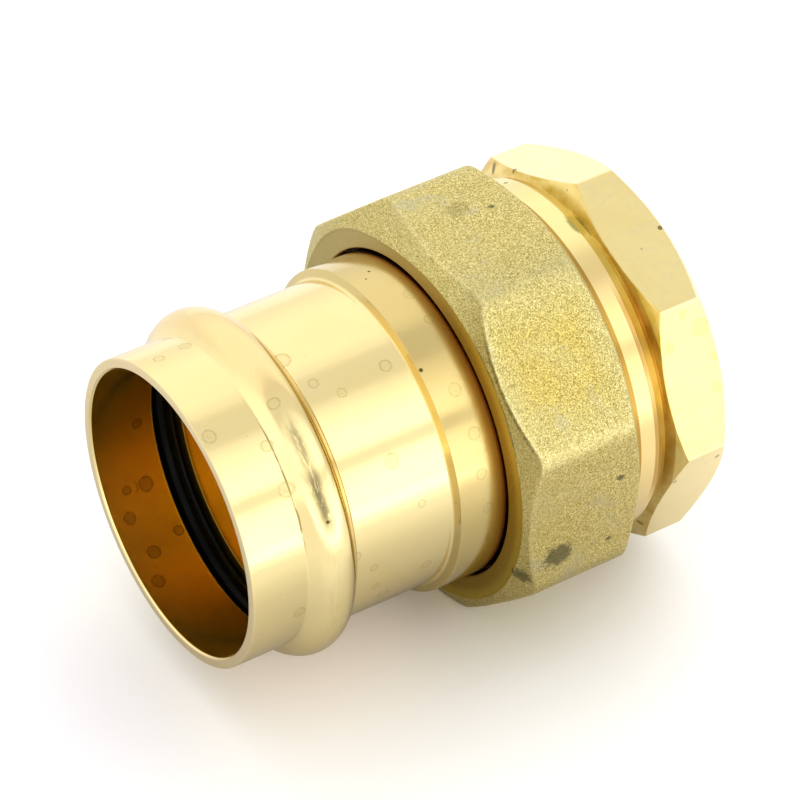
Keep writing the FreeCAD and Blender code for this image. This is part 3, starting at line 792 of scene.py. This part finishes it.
def forged_brass():
    mat, tree = material("forged_brass")
    point, x, radius, angle = on_pipe(tree)
    face, cone, edge = source(
        tree, "ShaderNodeAttribute", "Vector", attribute_name="zone")[0].xyz()
    bore = radius.fall(35.25, 35.45) * ((1.0 - face) * (1.0 - cone))
    # blasted skin: grains of bright metal in an olive oxide
    coarse = point.noise(scale=3.0, detail=3.0, rough=0.75)
    fine = point.noise(scale=8.5, rough=0.7)
    cell_distance, cell_lot = point.cells(scale=7.0)
    grain = coarse * 0.22 + (fine * 0.44 + cell_lot * 0.34)
    skin = grain.step(0.32, 0.70, smooth=False).ramp([
        (0.0, (0.27, 0.225, 0.065)), (0.35, (0.52, 0.44, 0.150)),
        (0.65, (0.76, 0.655, 0.255)), (1.0, (1.0, 0.92, 0.52))])
    clouds = point.noise(scale=0.085, detail=3.0, rough=0.6, distortion=0.5)
    skin = skin.paint(clouds.step(0.40, 0.68, end=0.40),
                      grain.mix((0.42, 0.37, 0.15), (0.80, 0.74, 0.42)))
    # the flat that faces the camera is painted brighter and yellower
    yellow = angle.band(0.55, 1.02, soft=0.12) * x.band(54.5, 71.0, soft=3.0)
    yellow = yellow * point.noise(scale=0.16, detail=3.0, rough=0.6).step(0.30, 0.60, start=0.40)
    bright = grain.step(0.35, 0.67, smooth=False).mix((0.29, 0.205, 0.014), (0.98, 0.79, 0.205))
    skin = skin.paint(yellow, bright, amount=0.62)
    # grey handling patches
    patches = point.noise(scale=0.17, detail=4.0, rough=0.65, distortion=0.6).step(0.56, 0.72)
    skin = skin.paint(patches, grain.mix((0.38, 0.36, 0.24), (0.70, 0.68, 0.52)), amount=0.50)
    # the coned front is painted darker beside that flat, a painted dark reflection, with a painted
    # shade line along its edge; the edges are rubbed bright
    beside = angle.band(0.42, 1.28, soft=0.14)
    skin = skin.paint(cone * beside.lerp(0.16, 0.55),
                      grain.mix((0.13, 0.10, 0.018), (0.40, 0.32, 0.085)))
    # painted shade line along the edge of the cone
    broken = point.noise(scale=0.9, detail=4.0, rough=0.7).step(0.30, 0.52, start=0.45)
    seam = (cone * edge.band(0.04, 0.72, soft=0.06)) * (angle.band(0.56, 1.12, soft=0.08) * broken)
    ridge_shade_color = grain.step(0.30, 0.70).mix((0.040, 0.032, 0.008), (0.26, 0.205, 0.055))
    skin = skin.paint(seam, ridge_shade_color, amount=0.85)
    rub = edge * point.noise(scale=0.8, detail=3.0, rough=0.7).step(0.32, 0.60, start=0.25)
    rub = rub * beside.lerp(0.55, 1.0)
    skin = skin.paint(rub, grain.mix((0.66, 0.57, 0.23), (1.0, 0.95, 0.62)), amount=0.42)
    # front face: dark bronze, lighter olive on top
    upper = angle.fall(-0.05, 0.60) * angle.step(-2.4, -1.9)
    bronze = radius.step(33.4, 35.6).mix((0.29, 0.180, 0.011), (0.45, 0.315, 0.034))
    face_color = upper.mix(bronze, (0.46, 0.370, 0.140))
    face_color = face_color.paint(grain.step(0.30, 0.72, end=0.35),
                                  face_color.paint(0.5, (0.72, 0.52, 0.16)))
    skin = skin.paint(face * (1.0 - rub * 0.7), face_color)
    # the skin away from that face darkens round the nut
    top_tint = angle.step(0.10, 0.36).mix((1.0, 0.96, 0.87), (0.93, 0.905, 0.84))
    skin = skin.tint(1.0 - face, angle.step(1.12, 1.30).mix(top_tint, (0.88, 0.815, 0.70)))
    blotches = reduce(Value.max, [blotch(point, *row) for row in BLOTCHES])
    skin = skin.paint(blotches, grain.mix((0.045, 0.038, 0.014), (0.16, 0.14, 0.06)), amount=0.80)
    # cut metal inside; the lip round the tail is painted nearly black, a painted shade in the gap
    # round the tail
    streaks = join(radius * 4.0, angle, x).noise(detail=3.0, rough=0.6)
    metal = streaks.mix((0.80, 0.545, 0.155), (0.90, 0.66, 0.23))
    # painted shade in the gap between the nut and the tail
    throat = radius.fall(32.0, 32.6) * (bore * x.fall(54.0, 57.0))
    metal = metal.paint(throat, (0.060, 0.028, 0.006))

    rough = grain.step(0.25, 0.8, start=0.60, end=0.36, smooth=False)
    rough = rub.lerp(rough, 0.34)
    rough = bore.lerp(rough, 0.18)
    height = (coarse * 0.35 + (fine * 0.45 + cell_distance * 0.5)) * (1.0 - bore)
    normal = height.bump(distance=0.00008, strength=0.60)
    lathe = join(radius * 9.0, angle * 0.6, x * 9.0).noise(rough=0.6)
    normal = (lathe * bore.max(face)).bump(distance=0.000010, strength=0.6, normal=normal)
    shade(skin.paint(bore, metal), rough, normal)
    return mat


def turned_brass():
    mat, tree = material("turned_brass")
    point, x, radius, angle = on_pipe(tree)
    # mm of X past the surface of the turned cone: flats behind it, cone and groove in front
    past = x - radius.math("MULTIPLY_ADD", CONE_SLOPE, CONE_X - GROOVE_R * CONE_SLOPE)
    flats = past.step(0.10, 0.22) * radius.step(34.85, 34.98)
    cone_side = past.fall(0.06, 0.14) * x.step(81.98, 82.15)
    cloud = point.noise(scale=0.10, detail=3.0, rough=0.6, distortion=0.4)
    color = cloud.step(0.35, 0.72, end=0.5).mix((0.945, 0.775, 0.355), (0.90, 0.715, 0.285))
    haze = point.scaled(1.0, 1.6, 1.6).noise(scale=0.35, detail=5.0, rough=0.7, distortion=0.5)
    color = color.paint(flats * haze.step(0.46, 0.72, end=0.42), (0.80, 0.69, 0.42))
    # amber patches painted on the turned cone
    cone_amber = join(x * 0.4, angle * 7.0, 0.0).noise(detail=4.0, rough=0.6)
    cone_amber = cone_side * cone_amber.step(0.30, 0.65, start=0.35)
    amber = join(x * 0.25, angle * 3.2, radius * 0.3).noise()
    cone_amber_color = amber.step(0.40, 0.66).mix((0.66, 0.43, 0.066), (0.90, 0.67, 0.21))
    color = color.paint(cone_amber, cone_amber_color, amount=0.90)
    # painted reflection tones: the flat just past the top towards +Y is painted paler, the one near
    # 65 degrees a little warmer
    top_flat = flats * (angle.fall(-0.045, -0.025) * angle.step(-0.83, -0.80))
    color = color.paint(top_flat, (0.97, 0.89, 0.52), amount=0.75)
    color = color.tint(flats * angle.band(0.77, 1.535, soft=0.01), (0.975, 0.955, 0.80))
    # the neck is pinker on its -Y side and painted dark next to the nut, a painted shade in the gap
    neck = x.band(76.6, 81.95, soft=0.05) * radius.step(34.0, 34.3)
    color = color.tint(neck * angle.step(0.25, 0.45), (0.93, 0.86, 0.82))
    neck_gap_shade = x.fall(77.75, 77.95) * radius.step(32.0, 32.4)
    color = color.paint(neck_gap_shade, (0.40, 0.22, 0.022), amount=0.88)
    # water rings and pits
    ring, disc, pit = spot_layers(tree)
    color = color.paint(disc, (0.62, 0.55, 0.20), amount=0.30)
    color = color.paint(ring, (0.45, 0.37, 0.14), amount=0.40)
    color = color.paint(pit, (0.16, 0.12, 0.035), amount=0.85)
    # painted shade in the corner between the neck and the cone, green-grey
    away = distance_to(point, station=82.45, radius=34.3, degrees=7.4, squeeze=(1.6, 0.8, 1.0))
    ragged = (point.noise(scale=1.2, detail=3.0) - 0.5) * 1.2
    neck_corner_shade = (away + ragged).fall(1.6, 2.7)
    color = color.paint(neck_corner_shade, (0.24, 0.235, 0.060), amount=0.80)
    near, lot = point.cells(scale=0.21)
    speck = near.fall(0.03, 0.06) * lot.step(0.50, 0.55)
    color = color.paint(speck, (0.30, 0.24, 0.08), amount=0.55)
    # painted shade: the groove beside the neck and a band across the neck's end, the groove and the
    # cone on the -Y side are painted darker; the bore is darker too
    neck_groove_shade = x.band(82.05, 83.50, soft=0.08) * (radius.step(33.0, 33.2) * radius.fall(34.3, 34.5))
    color = color.paint(neck_groove_shade, (0.60, 0.40, 0.060), amount=0.85)
    neck_end_shade = angle.band(0.58, 1.80, soft=0.10) * radius.step(33.0, 33.2)
    neck_end_shade = neck_end_shade * (x.band(80.95, 84.6, soft=0.05) * (1.0 - flats))
    color = color.tint(neck_end_shade, amber.step(0.35, 0.65).mix((0.62, 0.50, 0.34), (0.80, 0.68, 0.54)))
    color = color.paint(radius.fall(30.7, 30.9), (0.84, 0.60, 0.20), amount=0.6)

    rough = flats.lerp(0.15, 0.20) + point.noise(scale=0.5, detail=3.0, rough=0.6) * 0.08
    rough = disc.max(neck_corner_shade).lerp(rough, 0.36)
    # milled flats carry fine straight lines along the pipe, turned faces carry rings
    mill = join(x * 0.5, angle * 34.0 * 5.0, 0.0).noise(detail=3.0, rough=0.7)
    lathe = join(x * 9.0, angle * 0.8, radius * 9.0).noise(rough=0.6)
    normal = (mill * flats).bump(distance=0.0000075, strength=0.6)
    normal = (lathe * (1.0 - flats)).bump(distance=0.0000065, strength=0.6, normal=normal)
    normal = point.noise(scale=1.2).bump(distance=0.000010, strength=0.3, normal=normal)
    shade(color, rough, normal)
    return mat


def rubber(name):
    mat, tree = material(name)
    point = position(tree)
    x = point.xyz()[0] - MOUTH
    mottle = point.noise(scale=1.2, detail=3.0, rough=0.6)
    color = mottle.mix((0.0008, 0.0008, 0.0009), (0.0030, 0.0029, 0.0029))
    rough = mottle.step(0.3, 0.8, start=0.16, end=0.26)
    seam = x.band(15.70, 15.90, soft=0.04)
    height = point.noise(scale=6.0, rough=0.6) * 0.4 + seam
    shade(color, rough, height.bump(distance=0.00003, strength=0.5), metallic=0.0,
          extra={"Specular IOR Level": 0.045})
    return mat


def wire_steel():
    mat, tree = material("ring_wire_steel")
    _, x, radius, angle = on_pipe(tree)
    lines = join(x * 6.0, radius * 6.0, angle).noise(scale=2.0, detail=3.0, rough=0.6)
    color = lines.mix((0.52, 0.52, 0.53), (0.68, 0.68, 0.69))
    rough = lines.step(0.2, 0.8, start=0.25, end=0.4)
    shade(color, rough, lines.bump(distance=0.00002, strength=0.4))
    return mat


def floor_white():
    """Near-white floor that looks different to the camera and in reflections; metres."""
    mat, tree = material("floor_white")
    [place] = source(tree, "ShaderNodeTexCoord", "Object")
    glossy, camera_ray = source(tree, "ShaderNodeLightPath", "Is Glossy Ray", "Is Camera Ray")
    away = place.vector("LENGTH", output="Value")
    x, y, _ = place.xyz()
    # the floor is painted slightly darker near the object, a light painted shadow
    seen = away.step(0.05, 0.20).mix((0.955, 0.950, 0.942), (0.98, 0.978, 0.976))
    cool = x.band(-0.110, -0.060, soft=0.012) * y.band(-0.02, 0.035, soft=0.02)
    seen = seen.tint(cool, (0.965, 0.96, 1.0))
    # in reflections the floor is painted darker near the object, a painted shadow, and painted
    # lighter towards +X where no shadow falls
    mirrored = away.step(0.05, 0.15).mix((0.56, 0.556, 0.55), (0.78, 0.78, 0.78))
    mirrored = mirrored.paint(x.step(0.030, 0.075), (0.88, 0.88, 0.90))
    # in reflections the floor glows towards -Y
    glow = (y * -1.0).step(0.14, 0.48) * (glossy * 0.95)
    # light that passes under the tail lifts its shadow
    under = place.scaled(0.8, 1.0, 0.0).distance((-0.027 * 0.8, -0.014, 0.0))
    under = under.step(0.0, 0.030, start=0.15, end=0.0) * camera_ray
    shade(glossy.mix(seen, mirrored), 0.6, metallic=0.0, extra={
        "Emission Color": glossy.mix((1.0, 0.72, 0.60), (1.0, 1.0, 1.0)),
        "Emission Strength": glow + under})
    return mat


tail_mat, nut_mat, end_mat = polished_bronze(), forged_brass(), turned_brass()
CAD_MATERIALS = {
    "press_tail": tail_mat, "union_nut": nut_mat, "threaded_end": end_mat,
    "socket_o_ring": rubber("o_ring_rubber"), "flat_gasket": rubber("gasket_rubber"),
    "retaining_ring": wire_steel(),
}
for node_name, mat in CAD_MATERIALS.items():
    give(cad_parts[node_name], mat)

# piece, the CAD node it replaces, its body, its slot, its material
PIECES = [
    (build_tail(), "press_tail", "tail", "tail_bronze", tail_mat),
    (build_nut(), "union_nut", "nut", "nut_brass", nut_mat),
    (build_end(), "threaded_end", "end_piece", "end_brass", end_mat),
]
for piece, node_name, body, slot_name, mat in PIECES:
    give(piece, mat)
    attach(piece, body)
    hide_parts(node_name)

# ---------------------------------------------------------------------------
# stage: floor, sky light, camera
# ---------------------------------------------------------------------------
# brightness round the X axis: degrees from straight up, + towards -Y
SKY = [
    (-180, 0.80), (-125, 0.86), (-112, 0.90), (-100, 0.98), (-80, 1.12), (-60, 1.26),
    (-22, 1.24), (-13, 1.10), (-8, 0.90), (11, 0.89), (17, 1.15), (27, 1.38), (40, 1.72),
    (50, 1.78), (54.5, 1.10), (60.5, 1.14), (65, 1.70), (82, 1.98), (92, 1.90), (99, 1.40),
    (110, 1.00), (180, 0.80),
]
SKY_STRENGTH = 2.0


def build_floor():
    bpy.ops.mesh.primitive_plane_add(size=12.0, location=(0.0, 0.0, cad_lo.z - 0.00002))
    floor = bpy.context.object
    floor.name = "studio_floor"
    give(floor, floor_white())


def build_world():
    world = bpy.data.worlds.new("soft_tent")
    scene.world = world
    world.use_nodes = True
    world.cycles.sampling_method = "NONE"
    tree = world.node_tree
    tree.nodes.clear()
    [direction] = source(tree, "ShaderNodeTexCoord", "Generated")
    x, y, z = direction.xyz()
    turn = (y * -1.0).math("ARCTAN2", z).math("MULTIPLY_ADD", 0.5 / math.pi, 0.5)
    light = turn.ramp([(0.5 + degrees / 360.0, (value / SKY_STRENGTH,) * 3)
                       for degrees, value in SKY])
    # the two ends of the tent, +X then -X
    light = light.paint(x.step(0.80, 0.97), (0.44, 0.44, 0.44))
    light = light.paint(x.step(-0.80, -0.97), (0.72, 0.72, 0.72))
    # what lights matt surfaces: a wide soft source overhead, leaning towards +X and +Y
    lean = direction.vector("DOT_PRODUCT", Vector((0.35, 0.25, 0.90)).normalized(), "Value")
    lean = lean.max(0.0) ** 2.0
    soft = lean.math("MULTIPLY_ADD", 1.02, 0.90) * 0.5
    diffuse_ray, camera_ray = source(
        tree, "ShaderNodeLightPath", "Is Diffuse Ray", "Is Camera Ray")
    light = light.paint(diffuse_ray, join(soft, soft, soft))
    light = light.paint(camera_ray, (0.52, 0.52, 0.52))
    to_output("ShaderNodeOutputWorld", light.then(
        "ShaderNodeBackground", {"Color": light, "Strength": SKY_STRENGTH}))


def build_camera():
    """Looks along +X, +Y and down at the pipe."""
    place = (-0.30834, -0.45254, 0.49643)
    right = (0.83811, -0.54494, 0.02457)
    up = (0.34911, 0.57046, 0.74343)
    back = (-0.41915, -0.61450, 0.66836)
    data = bpy.data.cameras.new("camera")
    data.sensor_width = 36.0
    data.lens = 183.79
    data.clip_start, data.clip_end = 0.01, 100.0
    camera = bpy.data.objects.new("camera", data)
    scene.collection.objects.link(camera)
    turned = Matrix((right, up, back)).transposed().to_4x4()
    camera.matrix_world = Matrix.Translation(place) @ turned
    scene.camera = camera


build_floor()
build_world()
build_camera()
scene.view_settings.view_transform = "Standard"
scene.view_settings.look = "None"
